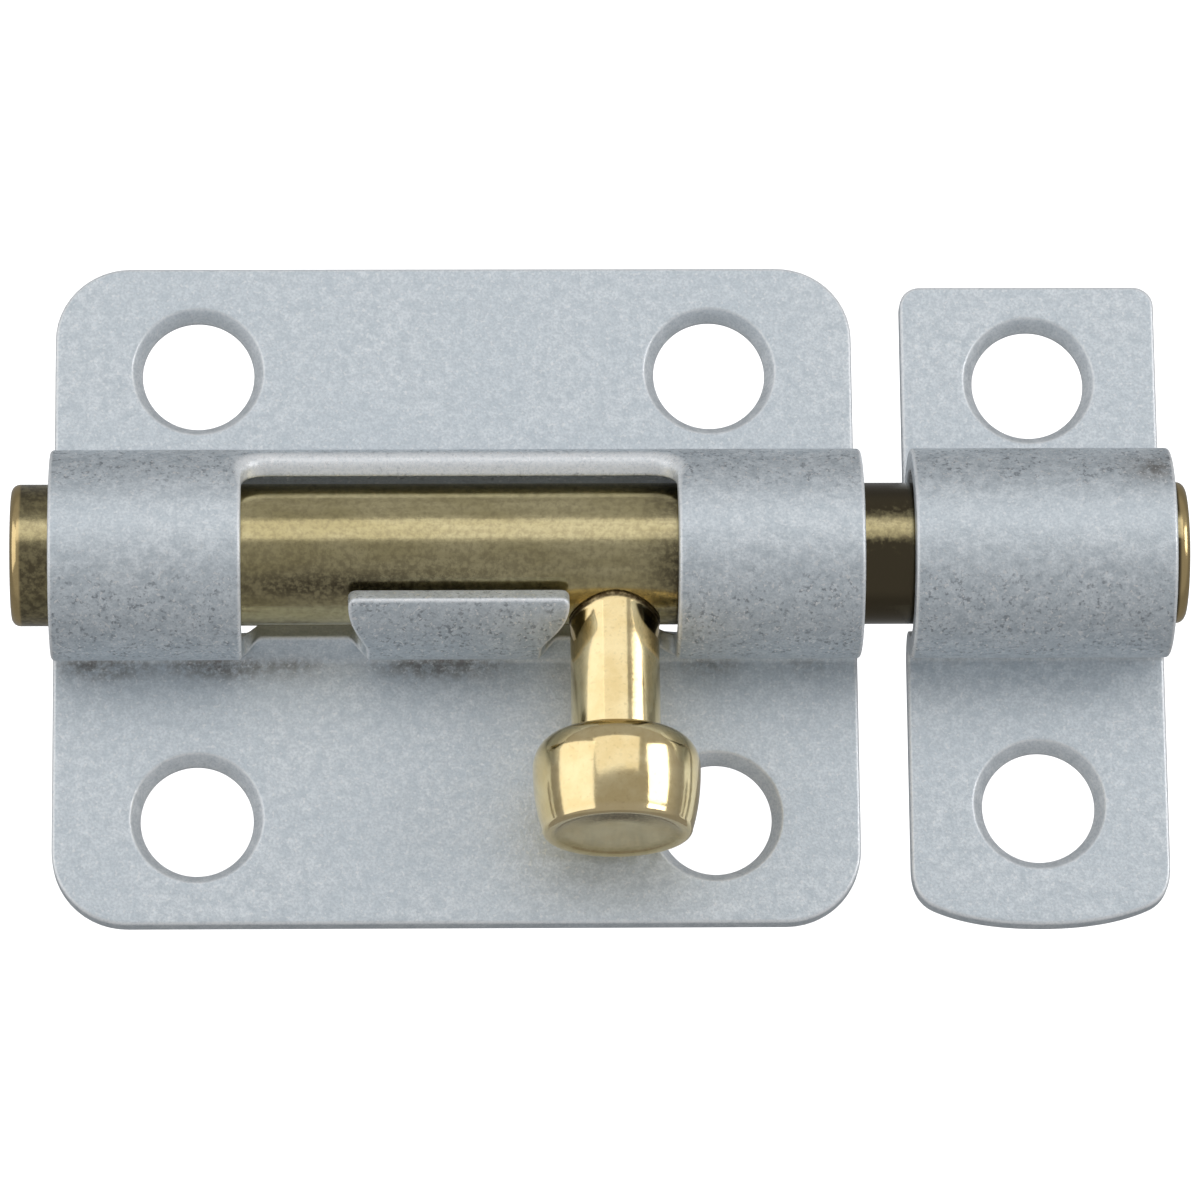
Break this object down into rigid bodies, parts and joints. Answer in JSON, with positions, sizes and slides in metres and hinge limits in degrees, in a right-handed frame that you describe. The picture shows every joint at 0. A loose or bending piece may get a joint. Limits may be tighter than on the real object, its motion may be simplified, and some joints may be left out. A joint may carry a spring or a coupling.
{
  "type": "barrel bolt latch",
  "caption": "Surface barrel bolt: a folded sheet case with a window and lock tab, a round bolt with a turn-down knob, and a matching keeper.",
  "frame": {"origin": "under the middle of the latch, case and keeper and shot bolt together, on the back face that lies against the door", "axes": "+X along the bolt towards the keeper, +Y up on the door, +Z out of the door"},
  "size_m": [0.0738, 0.0432, 0.0123],
  "materials": {
    "galvanised_steel": "galvanised, satin, finely speckled",
    "rod_brass": "dull, tarnished",
    "knob_brass": "polished"
  },
  "bodies": {
    "base": {"case": "galvanised_steel", "keeper": "galvanised_steel"},
    "bolt": {"bolt_rod": "rod_brass"},
    "knob": {"knob": "knob_brass"}
  },
  "joints": [
    {"name": "bolt_slide", "type": "slide", "parent": "base", "child": "bolt", "axis": [1, 0, 0], "range_m": [0, 0.001]},
    {"name": "knob_turn", "type": "hinge", "parent": "bolt", "child": "knob", "pos_m": [0.0009, 0.00135, 0.0057], "axis": [-1, 0, 0], "range_deg": [0, 105]}
  ]
}
